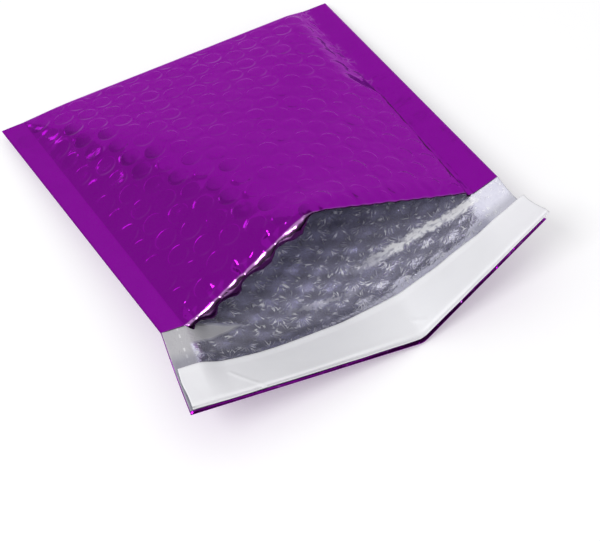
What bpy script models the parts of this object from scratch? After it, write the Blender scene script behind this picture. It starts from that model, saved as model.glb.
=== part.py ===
"""Padded mailing envelope, lying open: purple film outside, silver bubble lining, flap with a peel-off strip.

One outer sheet and one lining sheet are each folded at the bottom, closed along both sides and left
longer at the back as the flap. A place on either sheet is given by its distance across from the left
edge and its distance along from the bottom fold: negative along the front panel, positive along the
back panel and on over the flap. X runs across, +Y points at the bottom fold and Z is up.
"""
import math

import bmesh
import bpy
from mathutils import Vector

# Flat sizes
WIDTH = 0.185
BODY_LENGTH = 0.165
FLAP_LENGTH = 0.050
LEFT_SEAM = 0.0115
RIGHT_SEAM = 0.0140

# Wall of one side, from the outside in
FILM_RELIEF = 0.0012
FILM_THICK = 0.00045
LAYER_GAP = 0.00035
LINING_THICK = 0.0011
LINING_RELIEF = 0.0012
CAVITY_GAP = 0.0004

# Bubble pattern: columns run along the envelope, alternate columns are moved by half a pitch
BUBBLE_COLUMNS = 15
PATTERN_STEPS = 2 * BUBBLE_COLUMNS + 1
STEP_ACROSS = (WIDTH - LEFT_SEAM - RIGHT_SEAM) / PATTERN_STEPS
BUBBLE_PITCH = STEP_ACROSS * 4 / math.sqrt(3)
BUBBLE_FADE_START = 0.004
BUBBLE_FADE_LENGTH = 0.004

# How far the mouth stands open: heights of the layers' middle, at the seams' inner edges
LEFT_CORNER_HEIGHT = 0.0192
RIGHT_CORNER_HEIGHT = 0.0181
LEFT_SEAM_RISE = 0.0021
RIGHT_SEAM_RISE = 0.0043
PEAK_HEIGHT = 0.0555
PEAK_ACROSS = 0.0766
LEFT_TROUGH_REACH = 0.0352
RIGHT_TROUGH_REACH = 0.0577
FRONT_ROUNDING = 0.014
FRONT_ROUNDING_RISE = 0.025
PEAK_ROUNDING = 0.005
PEAK_LENGTH = 0.018
BACK_ROUNDING = 0.010
BACK_ROUNDING_RISE = 0.012
LIP_DROP = 0.0020
LIP_LENGTH = 0.009

# Plan of the mouth: the corners come in as it opens
LEFT_CORNER_INSET = 0.0025
RIGHT_CORNER_INSET = 0.0086
SEAM_SHORTENING = 0.0021

# Free edge of the flap, in plan from the body's middle
FLAP_LEFT = (-0.1019, -0.1295, 0.0304)
FLAP_KINK = (0.0116, -0.1295, FILM_RELIEF)
FLAP_RIGHT = (0.0761, -0.1241, 0.0390)
KINK_ACROSS = 0.1143
KINK_ROUNDING = 0.002
FLAP_CURL = 1.8

# One bubble under the back panel is pressed flat by the floor
FLAT_SPOT_COLUMN = 7
FLAT_SPOT_TURNS = 6

# Lining and strips on the flap
LINING_MOUTH_STEP = 0.0014
FLAP_SIDE_GAP = 0.0003
LINING_SEAM_THICK = 0.0005
LINING_PRESSED_THICK = 0.0006
PRESSED_FROM = 0.0220
BUBBLES_END = 0.0200
LINING_EDGE_INSET = 0.0006
LINING_FILM_SEAM = 0.00075
LINING_CLOSE_SEAM = 0.0033
STRIP_START = 0.0235
STRIP_WIDTH = 0.0252
STRIP_LEFT = 0.0004
STRIP_OVERHANG = 0.0025
STRIP_THICK = 0.00025
GLUE_START = 0.0262
GLUE_WIDTH = 0.0190
GLUE_INSET = 0.0060
GLUE_THICK = 0.0003
STRIP_GAP = 0.0003

# Mesh spacing
COARSE_ROW = 0.0150
SEAM_ROW = 0.0105
STRIP_ROWS = 3
FOLD_ROWS = (0.15, 0.5, 1.0)
ROW_MARGIN = 0.0020

WALL = FILM_THICK + LAYER_GAP + LINING_THICK + LINING_RELIEF + CAVITY_GAP / 2
WELD_HALF = FILM_THICK
REST_HEIGHT = FILM_RELIEF + WALL
LINING_OUT = FILM_THICK + LAYER_GAP
LINING_IN = LINING_OUT + LINING_THICK
SHEET_END = BODY_LENGTH + FLAP_LENGTH


def clear_scene():
    """Take every object out of the scene."""
    for thing in list(bpy.data.objects):
        bpy.data.objects.remove(thing, do_unlink=True)


def blend(low, high, share):
    """The value a given share of the way from one to the other."""
    return low + (high - low) * share


def limit(share):
    """A share kept between nought and one."""
    return min(1.0, max(0.0, share))


def soft_least(first, second, rounding):
    """The smaller of two heights, with the corner between them rounded."""
    near = max(0.0, rounding - abs(first - second))
    return min(first, second) - near * near / (4 * rounding)


def soft_most(first, second, rounding):
    """The larger of two heights, with the corner between them rounded."""
    return -soft_least(-first, -second, rounding)


def inside_seams(across):
    """Distance from the nearer seam's inner edge: negative in the seam."""
    return min(across - LEFT_SEAM, WIDTH - RIGHT_SEAM - across)


def padding(across):
    """Half the height of the closed envelope at a distance across it."""
    if across < LEFT_SEAM:
        return WELD_HALF * max(0.0, across) / LEFT_SEAM
    if across > WIDTH - RIGHT_SEAM:
        return WELD_HALF * max(0.0, WIDTH - across) / RIGHT_SEAM
    return blend(WELD_HALF, WALL, limit(inside_seams(across) / STEP_ACROSS))


def panel_heights(across, down):
    """Middle heights of the front and the back panel, opened towards the mouth."""
    share = max(0.0005, down / BODY_LENGTH)
    left = blend(REST_HEIGHT, LEFT_CORNER_HEIGHT, share)
    right = blend(REST_HEIGHT, RIGHT_CORNER_HEIGHT, share)
    from_left = across - LEFT_SEAM
    from_right = WIDTH - RIGHT_SEAM - across
    if from_left <= 0:
        height = left - LEFT_SEAM_RISE * share * from_left / LEFT_SEAM
        return height, height
    if from_right <= 0:
        height = right - RIGHT_SEAM_RISE * share * from_right / RIGHT_SEAM
        return height, height
    ridge = blend(REST_HEIGHT, PEAK_HEIGHT, share)
    left_slope = (PEAK_HEIGHT - LEFT_CORNER_HEIGHT) / (PEAK_ACROSS - LEFT_SEAM)
    right_slope = (PEAK_HEIGHT - RIGHT_CORNER_HEIGHT) / (WIDTH - RIGHT_SEAM - PEAK_ACROSS)
    at_mouth = limit((down - BODY_LENGTH + PEAK_LENGTH) / PEAK_LENGTH)
    rounding = min(blend(FRONT_ROUNDING, PEAK_ROUNDING, at_mouth), FRONT_ROUNDING_RISE * share)
    front = soft_least(left + left_slope * from_left, right + right_slope * from_right, rounding)
    front = soft_least(front, ridge, rounding)
    lip = limit((down - BODY_LENGTH + LIP_LENGTH) / LIP_LENGTH)
    side = limit(min(from_left, from_right) / LIP_LENGTH)
    front -= LIP_DROP * lip * lip * side
    left_fall = (LEFT_CORNER_HEIGHT - REST_HEIGHT) / LEFT_TROUGH_REACH
    right_fall = (RIGHT_CORNER_HEIGHT - REST_HEIGHT) / RIGHT_TROUGH_REACH
    rounding = min(BACK_ROUNDING, BACK_ROUNDING_RISE * share)
    sides = max(left - left_fall * from_left, right - right_fall * from_right)
    back = soft_most(sides, REST_HEIGHT, rounding)
    return front, back


def body_plan(across, down, face):
    """Place in plan of a point on the body."""
    share = down / BODY_LENGTH
    left = -WIDTH / 2 + LEFT_CORNER_INSET * share
    right = WIDTH / 2 - RIGHT_CORNER_INSET * share
    inward = limit(inside_seams(across) / (WIDTH / 2 - RIGHT_SEAM))
    shortening = SEAM_SHORTENING if face > 0 else SEAM_SHORTENING * (1 - inward)
    return blend(left, right, across / WIDTH), BODY_LENGTH / 2 - down + shortening * share


def body_point(across, down, face, inset, relief):
    """A point on the front (face 1) or back (face -1) panel, at a depth under its outer skin."""
    heights = panel_heights(across, down)
    middle = heights[0] if face > 0 else heights[1]
    full = padding(across)
    reach = full - inset
    short = max(0.0, full - down)
    half = math.sqrt(max(0.0, reach * reach - short * short)) if reach > 0 else 0.0
    x, y = body_plan(across, down, face)
    return Vector((x, y, middle + face * (half + relief)))


def closed_point(across, down):
    """A point where the front and back of one sheet are joined along the side."""
    heights = panel_heights(across, down)
    x, y = body_plan(across, down, 1)
    return Vector((x, y, (heights[0] + heights[1]) / 2))


def flap_edge(across):
    """A point of the flap's free edge."""
    left_share = across / KINK_ACROSS
    right_share = (across - KINK_ACROSS) / (WIDTH - KINK_ACROSS)
    if across < KINK_ACROSS:
        x = blend(FLAP_LEFT[0], FLAP_KINK[0], left_share)
        y = blend(FLAP_LEFT[1], FLAP_KINK[1], left_share)
    else:
        x = blend(FLAP_KINK[0], FLAP_RIGHT[0], right_share)
        y = blend(FLAP_KINK[1], FLAP_RIGHT[1], right_share)
    left = blend(FLAP_LEFT[2], FLAP_KINK[2], left_share)
    right = blend(FLAP_KINK[2], FLAP_RIGHT[2], right_share)
    return Vector((x, y, soft_most(left, right, KINK_ROUNDING)))


def flap_point(across, out, height):
    """A point on the flap, at a height over the film's outer face and a distance out from the mouth."""
    hinge = body_point(across, BODY_LENGTH, -1, 0.0, 0.0)
    edge = flap_edge(across)
    share = out / FLAP_LENGTH
    place = hinge.lerp(edge, share)
    place.z = blend(hinge.z, edge.z, share ** FLAP_CURL) + height
    return place


def lining_height(across, out):
    """Height of the lining's bubble side over the film's outer face, on the flap."""
    body = limit((inside_seams(across) - LINING_FILM_SEAM) / (STEP_ACROSS - LINING_FILM_SEAM))
    thick = blend(LINING_SEAM_THICK, LINING_THICK, body)
    pressed = limit((out - BUBBLES_END) / (PRESSED_FROM - BUBBLES_END))
    return LINING_OUT + min(thick, blend(LINING_THICK, LINING_PRESSED_THICK, pressed))


def bubble(across, along):
    """How far a bubble stands up at a place on the sheet: one at its middle, nought at its rim."""
    radius = BUBBLE_PITCH / 2
    nearest = radius
    place = ((across - LEFT_SEAM) / STEP_ACROSS - 1) / 2
    for column in (math.floor(place), math.floor(place) + 1):
        if not 0 <= column < BUBBLE_COLUMNS:
            continue
        sideways = (place - column) * 2 * STEP_ACROSS
        moved = along - BUBBLE_PITCH * (0.25 + 0.5 * (column % 2))
        endways = moved - BUBBLE_PITCH * round(moved / BUBBLE_PITCH)
        nearest = min(nearest, math.hypot(sideways, endways))
    return 1 - nearest / radius


def bubble_fade(along, end):
    """Bubbles are flattened at the bottom fold and towards the end of the padded part."""
    at_fold = limit((abs(along) - BUBBLE_FADE_START) / BUBBLE_FADE_LENGTH)
    at_end = limit((end - along) / BUBBLE_FADE_LENGTH)
    return at_fold * at_end


def bubble_middle(column, turn):
    """Place on the sheet of the middle of one bubble."""
    across = LEFT_SEAM + (2 * column + 1) * STEP_ACROSS
    return across, BUBBLE_PITCH * (turn + 0.25 + 0.5 * (column % 2))


def pressed_flat(across, along):
    """Whether the floor has flattened the film at this place."""
    middle = bubble_middle(FLAT_SPOT_COLUMN, FLAT_SPOT_TURNS)
    return math.hypot(across - middle[0], along - middle[1]) < 0.6 * BUBBLE_PITCH


def film_outer(across, along):
    """Outer skin of the purple film."""
    relief = FILM_RELIEF * bubble(across, along) * bubble_fade(along, SHEET_END)
    if pressed_flat(across, along):
        relief = FILM_RELIEF
    if along <= BODY_LENGTH:
        return body_point(across, abs(along), -math.copysign(1, along), 0.0, relief)
    return flap_point(across, along - BODY_LENGTH, -relief)


def film_inner(across, along):
    """Inner skin of the purple film."""
    if along <= BODY_LENGTH:
        return body_point(across, abs(along), -math.copysign(1, along), FILM_THICK, 0.0)
    return flap_point(across, along - BODY_LENGTH, FILM_THICK)


def lining_outer(across, along):
    """Skin of the lining that lies against the film."""
    if along <= BODY_LENGTH:
        return body_point(across, abs(along), -math.copysign(1, along), LINING_OUT, 0.0)
    return flap_point(across, along - BODY_LENGTH, LINING_OUT)


def lining_inner(across, along):
    """Bubble side of the lining, which faces the inside of the envelope."""
    relief = LINING_RELIEF * bubble(across, along) * bubble_fade(along, BODY_LENGTH + BUBBLES_END)
    if along <= BODY_LENGTH:
        return body_point(across, abs(along), -math.copysign(1, along), LINING_IN, -relief)
    out = along - BODY_LENGTH
    return flap_point(across, out, lining_height(across, out) + relief)


def pattern_column(index):
    """Distance across of a column of the bubble pattern's mesh."""
    return LEFT_SEAM + index * STEP_ACROSS


def fine_rows(index):
    """Rows of the bubble pattern's mesh in one column, for the whole sheet."""
    spacing = BUBBLE_PITCH / 2
    shift = spacing / 2 * (index % 2)
    count = int(SHEET_END / spacing) + 2
    return [step * spacing + shift for step in range(-count, count)]


def even_rows(spacing):
    """Evenly spaced rows for the whole sheet."""
    body = max(1, round(BODY_LENGTH / spacing))
    flap = max(1, round(FLAP_LENGTH / spacing))
    rows = [BODY_LENGTH * step / body for step in range(1, body)]
    rows = [-row for row in rows] + rows
    return rows + [BODY_LENGTH + FLAP_LENGTH * step / flap for step in range(1, flap)]


def column_rows(inner_rows, skin, fixed):
    """Rows of one column: both ends, the fold's own rows, fixed rows, and inner rows clear of those."""
    inset = skin["inset"]
    turn = WALL - inset
    fold = [inset] + [inset + turn * share for share in FOLD_ROWS]
    kept = [-skin["mouth_end"], skin["end"]] + list(fixed) + fold + [-row for row in fold[1:]]
    for row in inner_rows:
        inside = -skin["mouth_end"] < row < skin["end"] and abs(row) > fold[-1]
        if inside and min(abs(row - other) for other in kept) > ROW_MARGIN:
            kept.append(row)
    return sorted(set(kept))


def add_column(bm, rows, point):
    """Vertices of one column, as (row, vertex) pairs."""
    return [(row, bm.verts.new(point(row))) for row in rows]


def add_closed_column(bm, across, rows, mouth_end, point):
    """Vertices of a side column: front and back share them as far as the mouth."""
    made = {}
    column = []
    for row in sorted(rows, key=abs):
        key = round(abs(row) * 1e7)
        if abs(row) > mouth_end + 1e-7:
            column.append((row, bm.verts.new(point(across, row))))
            continue
        if key not in made:
            made[key] = bm.verts.new(closed_point(across, abs(row)))
        column.append((row, made[key]))
    return sorted(column, key=lambda pair: pair[0])


def add_face(bm, corners):
    """A face, unless two of its corners are one vertex."""
    if len(set(corners)) == len(corners):
        bm.faces.new(corners)


def zip_columns(bm, left, right):
    """Faces between two rows of (place, vertex) pairs, joined in order of their places."""
    i = 0
    j = 0
    while i < len(left) - 1 or j < len(right) - 1:
        left_done = i == len(left) - 1
        right_done = j == len(right) - 1
        left_next = not left_done and (
            right_done or left[i][0] + left[i + 1][0] <= right[j][0] + right[j + 1][0])
        if left_next:
            add_face(bm, (left[i][1], right[j][1], left[i + 1][1]))
            i += 1
        else:
            add_face(bm, (left[i][1], right[j][1], right[j + 1][1]))
            j += 1


def flap_part(column, start):
    """The part of a column from where the flap's own side columns begin."""
    return [pair for pair in column if pair[0] >= start - 1e-7]


def add_skin(bm, skin):
    """One skin of a folded sheet; gives its columns from left to right and its flap-only columns."""
    point = skin["point"]
    left_side, right_side = skin["sides"]
    mouth_end = skin["mouth_end"]
    start = skin["flap_start"]
    fixed = [BODY_LENGTH, start, mouth_end]
    side_rows = column_rows(even_rows(SEAM_ROW), skin, fixed)
    columns = []
    for across in (left_side, None, right_side):
        if across is not None:
            column = add_closed_column(bm, across, side_rows, mouth_end, point)
            columns.append((across, column))
            continue
        for index in skin["indexes"]:
            middle = pattern_column(index)
            inner = fine_rows(index) if skin["fine"] else even_rows(COARSE_ROW)
            rows = column_rows(inner, skin, [start] if index in skin["edge"] else [])
            made = add_column(bm, rows, lambda row, at=middle: point(at, row))
            columns.append((middle, made))
    for (_, left), (_, right) in zip(columns, columns[1:]):
        zip_columns(bm, left, right)
    sides = []
    for column, outward in ((columns[0], skin["flap_side"]), (columns[-1], WIDTH - skin["flap_side"])):
        inner_part = flap_part(column[1], start)
        if abs(outward - column[0]) < 1e-7:
            sides.append((column[0], inner_part))
            continue
        outer_part = add_column(bm, [row for row, _ in inner_part], lambda row: point(outward, row))
        zip_columns(bm, inner_part, outer_part)
        sides.append((outward, outer_part))
    return columns, sides


def mouth_edge(columns):
    """Front mouth edge, as (distance across, vertex) pairs."""
    return [(across, column[0][1]) for across, column in columns]


def free_edge(columns, sides):
    """Free edge of the flap, as (distance across, vertex) pairs."""
    row = [(across, column[-1][1]) for across, column in columns]
    row += [(across, column[-1][1]) for across, column in sides]
    return sorted({pair[1]: pair for pair in row}.values(), key=lambda pair: pair[0])


def step_edge(columns, sides, mouth_end, right):
    """Edge from the mouth's corner out to the flap's side: distances outwards from the middle."""
    across, column = columns[-1 if right else 0]
    outward, side_column = sides[1 if right else 0]
    start = side_column[0][0]
    row = [(vert_row, vert) for vert_row, vert in column if mouth_end - 1e-7 <= vert_row <= start + 1e-7]
    if side_column[0][1] is not row[-1][1]:
        row.append((start + abs(outward - across), side_column[0][1]))
    return row


def link_skins(bm, outer, inner, outer_skin, inner_skin):
    """Close the gap between a sheet's two skins round its whole rim."""
    zip_columns(bm, mouth_edge(outer[0]), mouth_edge(inner[0]))
    zip_columns(bm, free_edge(*outer), free_edge(*inner))
    for number in (0, 1):
        zip_columns(bm, outer[1][number][1], inner[1][number][1])
        outer_step = step_edge(*outer, outer_skin["mouth_end"], bool(number))
        inner_step = step_edge(*inner, inner_skin["mouth_end"], bool(number))
        zip_columns(bm, outer_step, inner_step)


def new_object(name, bm, material):
    """Turn a bmesh into one named object with its own material."""
    bmesh.ops.triangulate(bm, faces=bm.faces[:])
    bmesh.ops.recalc_face_normals(bm, faces=bm.faces[:])
    if bm.calc_volume(signed=True) < 0:
        bmesh.ops.reverse_faces(bm, faces=bm.faces[:])
    mesh = bpy.data.meshes.new(name)
    bm.to_mesh(mesh)
    bm.free()
    mesh.materials.append(material)
    made = bpy.data.objects.new(name, mesh)
    bpy.context.scene.collection.objects.link(made)
    return made


def make_material(name, colour, metallic, roughness):
    """A plain shader with one colour."""
    material = bpy.data.materials.new(name)
    material.use_nodes = True
    shader = material.node_tree.nodes["Principled BSDF"]
    shader.inputs["Base Color"].default_value = (*colour, 1.0)
    shader.inputs["Metallic"].default_value = metallic
    shader.inputs["Roughness"].default_value = roughness
    return material


def coarse_indexes():
    """Pattern columns used by the hidden skins: closer together where the sheets bend most."""
    kept = []
    for index in range(PATTERN_STEPS + 1):
        across = pattern_column(index)
        at_bend = min(abs(across - PEAK_ACROSS), abs(across - KINK_ACROSS)) < 2.1 * STEP_ACROSS
        at_side = min(index, PATTERN_STEPS - index) < 3
        if at_bend or at_side or index % 2 == 0:
            kept.append(index)
    return kept


def skin_plan(point, sides, flap_side, inset, mouth_end, flap_start, end, fine):
    """Everything that lays out one skin of a folded sheet."""
    indexes = list(range(PATTERN_STEPS + 1)) if fine else coarse_indexes()
    indexes = [i for i in indexes if sides[0] + 1e-6 < pattern_column(i) < sides[1] - 1e-6]
    return {
        "point": point, "sides": sides, "flap_side": flap_side, "inset": inset, "mouth_end": mouth_end,
        "flap_start": flap_start, "end": end, "fine": fine, "indexes": indexes,
        "edge": (indexes[0], indexes[-1]),
    }


def folded_sheet(name, outer_skin, inner_skin, material):
    """A sheet folded into a pocket with a flap: an outer skin, an inner skin and the rim between."""
    bm = bmesh.new()
    outer = add_skin(bm, outer_skin)
    inner = add_skin(bm, inner_skin)
    link_skins(bm, outer, inner, outer_skin, inner_skin)
    return new_object(name, bm, material)


def inner_sides(inset):
    """Both side edges of a skin that starts at a distance in from the seams."""
    return LEFT_SEAM + inset, WIDTH - RIGHT_SEAM - inset


def outer_film(material):
    """Purple film: one folded sheet, welded along both sides."""
    start = BODY_LENGTH + FLAP_SIDE_GAP
    edges = (0.0, WIDTH)
    outer = skin_plan(film_outer, edges, 0.0, 0.0, BODY_LENGTH, BODY_LENGTH, SHEET_END, True)
    inner = skin_plan(film_inner, inner_sides(0.0), 0.0, FILM_THICK, BODY_LENGTH, start, SHEET_END, False)
    return folded_sheet("outer_film", outer, inner, material)


def bubble_lining(material):
    """Silver bubble lining: one folded sheet inside the film, wider on the flap."""
    mouth_end = BODY_LENGTH - LINING_MOUTH_STEP
    start = BODY_LENGTH + 2 * FLAP_SIDE_GAP
    end = SHEET_END - LINING_EDGE_INSET
    edges = inner_sides(LINING_FILM_SEAM)
    outer = skin_plan(lining_outer, edges, FLAP_SIDE_GAP, LINING_OUT, mouth_end, start, end, False)
    edges = inner_sides(LINING_CLOSE_SEAM)
    inner = skin_plan(lining_inner, edges, FLAP_SIDE_GAP, LINING_IN, mouth_end, start, end, True)
    return folded_sheet("bubble_lining", outer, inner, material)


def flap_strip(name, material, left, right, start, width, lift, thick):
    """A flat strip that follows the flap: it lies at a lift over the lining."""
    bm = bmesh.new()
    stops = [left] + [pattern_column(i) for i in coarse_indexes()] + [right]
    stops = [stop for stop in stops if left <= stop <= right]
    outs = [start + width * step / STRIP_ROWS for step in range(STRIP_ROWS + 1)]
    grid = {}
    for level in (0, 1):
        for i, across in enumerate(stops):
            for j, out in enumerate(outs):
                height = LINING_OUT + LINING_PRESSED_THICK + lift + thick * level
                grid[level, i, j] = bm.verts.new(flap_point(across, out, height))
    last_i = len(stops) - 1
    last_j = len(outs) - 1
    for level in (0, 1):
        for i in range(last_i):
            for j in range(last_j):
                corners = ((level, i, j), (level, i + 1, j), (level, i + 1, j + 1), (level, i, j + 1))
                bm.faces.new([grid[corner] for corner in corners])
    rim = [(i, 0) for i in range(last_i)] + [(last_i, j) for j in range(last_j)]
    rim += [(i, last_j) for i in range(last_i, 0, -1)] + [(0, j) for j in range(last_j, 0, -1)]
    for first, second in zip(rim, rim[1:] + rim[:1]):
        bm.faces.new((grid[0, *first], grid[0, *second], grid[1, *second], grid[1, *first]))
    return new_object(name, bm, material)


def adhesive_strip(material):
    """Glue band under the peel-off strip."""
    return flap_strip(
        "adhesive_strip", material, GLUE_INSET, WIDTH - GLUE_INSET, GLUE_START, GLUE_WIDTH,
        STRIP_GAP, GLUE_THICK)


def release_strip(material):
    """White peel-off strip over the glue, a little longer than the flap is wide."""
    return flap_strip(
        "release_strip", material, STRIP_LEFT, WIDTH + STRIP_OVERHANG, STRIP_START, STRIP_WIDTH,
        2 * STRIP_GAP + GLUE_THICK, STRIP_THICK)


def stand_on_floor(things):
    """Put the whole on the floor, with the middle of its plan at the origin."""
    points = [vert.co for thing in things for vert in thing.data.vertices]
    low = [min(point[axis] for point in points) for axis in range(3)]
    high = [max(point[axis] for point in points) for axis in range(3)]
    move = Vector(((low[0] + high[0]) / 2, (low[1] + high[1]) / 2, low[2]))
    for thing in things:
        for vert in thing.data.vertices:
            vert.co -= move
        thing.data.update()


def build():
    """Build the envelope."""
    clear_scene()
    things = [
        outer_film(make_material("purple_film", (0.25, 0.006, 0.32), 0.9, 0.22)),
        bubble_lining(make_material("silver_lining", (0.55, 0.57, 0.62), 0.9, 0.30)),
        adhesive_strip(make_material("clear_glue", (0.80, 0.76, 0.62), 0.0, 0.30)),
        release_strip(make_material("white_release_paper", (0.80, 0.80, 0.82), 0.0, 0.45)),
    ]
    stand_on_floor(things)


build()
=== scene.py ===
import math

import bpy
import numpy as np
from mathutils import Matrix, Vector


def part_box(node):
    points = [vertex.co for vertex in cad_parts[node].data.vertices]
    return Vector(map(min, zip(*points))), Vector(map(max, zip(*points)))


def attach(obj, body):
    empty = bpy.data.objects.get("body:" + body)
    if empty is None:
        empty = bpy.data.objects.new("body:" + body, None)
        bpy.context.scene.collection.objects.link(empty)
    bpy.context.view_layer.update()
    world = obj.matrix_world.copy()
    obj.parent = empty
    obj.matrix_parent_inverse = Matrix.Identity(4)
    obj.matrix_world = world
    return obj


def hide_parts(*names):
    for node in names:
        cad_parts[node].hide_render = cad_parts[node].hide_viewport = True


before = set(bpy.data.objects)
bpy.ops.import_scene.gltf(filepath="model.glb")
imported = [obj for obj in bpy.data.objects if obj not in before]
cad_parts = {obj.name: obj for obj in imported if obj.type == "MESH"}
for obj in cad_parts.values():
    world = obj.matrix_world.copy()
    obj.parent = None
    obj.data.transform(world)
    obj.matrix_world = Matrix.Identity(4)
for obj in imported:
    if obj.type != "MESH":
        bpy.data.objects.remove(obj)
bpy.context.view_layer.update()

# Flat sizes
WIDTH = 0.185
BODY_LENGTH = 0.165
FLAP_LENGTH = 0.050
LEFT_SEAM = 0.0115
RIGHT_SEAM = 0.0140

# Wall of one side, from the outside in
FILM_THICK = 0.00045
LAYER_GAP = 0.00035
LINING_THICK = 0.0011
LINING_RELIEF = 0.0012
CAVITY_GAP = 0.0004
CAD_RELIEF = 0.0012

# Bubbles, and the step from the welds up to the padding
BUBBLE_COLUMNS = 15
FILM_RELIEF = 0.00024
FILM_LEAN = 0.022
FILM_DENT = 0.00012
RIDGE_WIDTH = 0.013
RIDGE_LEAN = 4.5
RIDGE_DENT = 4.0
BUBBLE_FADE_START = 0.003
BUBBLE_FADE_LENGTH = 0.004
SIDE_FADE_START = 0.001
SIDE_FADE_LENGTH = 0.007
SEAM_STEP_LEFT = 0.0200
SEAM_STEP_RIGHT = 0.0160
SEAM_STEP_BACK = 0.0120
STEP_ROUNDING = 0.35
WELD_EDGE_SHARE = 0.4
DISC_EDGE = 0.97
DISC_ROUNDING = 0.34
DISC_SIZES = (0.7, 1.0)
DOME_EDGE = 1.05
DOME_ROUNDING = 0.95
DOME_SIZES = (0.4, 0.65)
LINING_DENT = 0.00018
LINING_FINE_DENT = 0.00007
DENT_CELL = 0.0042
FAR_AWAY = 9.0
NAME_COUNT = 8192

# How far the mouth stands open
LEFT_CORNER_HEIGHT = 0.0192
RIGHT_CORNER_HEIGHT = 0.0181
LEFT_SEAM_RISE = 0.0021
RIGHT_SEAM_RISE = 0.0043
PEAK_HEIGHT = 0.0555
PEAK_ACROSS = 0.0766
LEFT_TROUGH_REACH = 0.0352
RIGHT_TROUGH_REACH = 0.0577
FRONT_ROUNDING = 0.014
FRONT_ROUNDING_RISE = 0.025
PEAK_ROUNDING = 0.005
PEAK_LENGTH = 0.018
BACK_ROUNDING = 0.010
BACK_ROUNDING_RISE = 0.012
LIP_DROP = 0.0020
LIP_LENGTH = 0.009
LEFT_CORNER_INSET = 0.0025
RIGHT_CORNER_INSET = 0.0086
SEAM_SHORTENING = 0.0021
LEAST_SHARE = 0.0005
LEAST_ROUNDING = 0.00002

# Free edge of the flap, in plan from the body's middle
FLAP_LEFT = (-0.1019, -0.1295, 0.0304)
FLAP_KINK = (0.0116, -0.1295, CAD_RELIEF)
FLAP_RIGHT = (0.0761, -0.1241, 0.0390)
KINK_ACROSS = 0.1143
KINK_ROUNDING = 0.002
FLAP_CURL = 1.8

# Lining and strip on the flap
LINING_MOUTH_STEP = 0.0014
FLAP_SIDE_GAP = 0.0003
LINING_SEAM_THICK = 0.0005
LINING_PRESSED_THICK = 0.0006
BUBBLES_END = 0.0200
PRESSED_FROM = 0.0220
LINING_EDGE_INSET = 0.0019
LINING_FILM_SEAM = 0.00075
STRIP_START = 0.0235
STRIP_WIDTH = 0.0252
STRIP_LEFT = 0.0004
STRIP_OVERHANG = 0.0025
STRIP_THICK = 0.00025
STRIP_LIFT = 0.0009
EDGE_FROM = 0.0453
EDGE_GAP = 0.00005
EDGE_PRESS = 0.55
EDGE_FLAT = 0.002
EDGE_STRIP_LIFT = 0.0001
STRIP_END_WAVE = 0.0011
STRIP_CREASES = ((0.0235, 0.0320, 0.0350, 0.0475), (0.1140, 0.0390, 0.1195, 0.0435))
STRIP_CREASE_WIDTH = 0.0013
STRIP_CREASE_HEIGHT = 0.00032
STRIP_CUT = 0.0004
STRIP_WAVE = 0.00040
STRIP_WAVE_FROM = 0.72
STRIP_DIP = 0.00018
STRIP_CELLS = (0.011, 0.017, 0.019, 0.012, 0.016)
TONGUE_END = 0.042
TONGUE_HALF = 0.0085
TONGUE_MIDDLE = 0.0035
TONGUE_SOFTNESS = 0.003
WELD_LINE = 0.0078

# Crushed mouth edge; its ripples are in radians per metre
ROLL_TURN = 1.95
ROLL_RADIUS = 0.0038
PINCHED_RADIUS = 0.0018
THIN_ROLL_TURN = 1.1
THIN_ROLL_RADIUS = 0.0006
CRUSH_LENGTH = 0.014
CRUSH_ENDS = (0.002, 0.006, 0.0, 0.004)
PINCHES = (0.0174, 0.0300, 0.0434, 0.0595)
PINCH_REACH = 0.0056
PINCH_RISE = 0.0042
PINCH_DEPTH = 0.0016
EDGE_DROP = 0.0007
SKIN_SAG = 0.0004
ROLL_ROWS = 8
ROLL_ENDS = (0.004, 0.012, 0.002, 0.005)
ROLL_CRUMPLE = 0.26
ROLL_CELL = 0.0045
ROLL_CELL_ROUND = 0.004
BODY_EDGE = 0.003
ROUGH_CELL = 0.0075
ROUGH_DEPTH = 0.0006
FINE_CELL = 0.0040
FINE_DEPTHS = (0.00008, 0.0003)
RIPPLE_HEIGHT = 0.0002
RIPPLE_TURN = 900
BOW_OUT = 0.0007
BOW_LEVEL = 0.6

# The padding crumples by the right seam near the fold; further on the film creases beside the seam
RIGHT_NARROWING = 0.0035
SEAM_CRUMPLE = 0.0007
SEAM_CRUMPLE_REACH = 0.006
SEAM_CRUMPLE_PAST = 0.012
SEAM_CRUMPLE_FADE = 0.015
CREASE_FROM = 0.072
CREASE_SPREAD = 0.0038
CREASE_STEP = 0.0010
CREASE_DRAW = 0.0018
CREASE_LEAD = 0.010
CREASE_SHARPENING = 0.025
CREASE_FREE_END = 0.006

# The lining is pulled taut over the bend at the mouth, towards the right, and a painted highlight lies along
# the bend
CREST_FROM = 0.099
CREST_TO = 0.174
CREST_LINE = 0.1650
CREST_SWING_FROM = 0.140
CREST_SWING = 0.0050
CREST_REACH = 0.0052
CREST_HEIGHT = 0.00030
CREST_FADES = (0.025, 0.006)
CREST_RISES = (0.012, 0.006)

# A fainter painted highlight streak lies on the lining further to the left
FAINT_START = (0.0600, 0.1697)
FAINT_END = (0.1010, 0.1758)
FAINT_REACH = 0.0024
FAINT_FADES = (0.014, 0.012)
FAINT_LEVEL = 0.32

# Camera, measured from the photograph
FOCAL_PIXELS = 1543.0
PICTURE_WIDTH = 600
CAMERA_AZIMUTH = -31.23
CAMERA_ELEVATION = 49.57
CAMERA_DISTANCE = 0.6984
CAMERA_TARGET = (-0.0079, -0.0419, 0.0)

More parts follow.
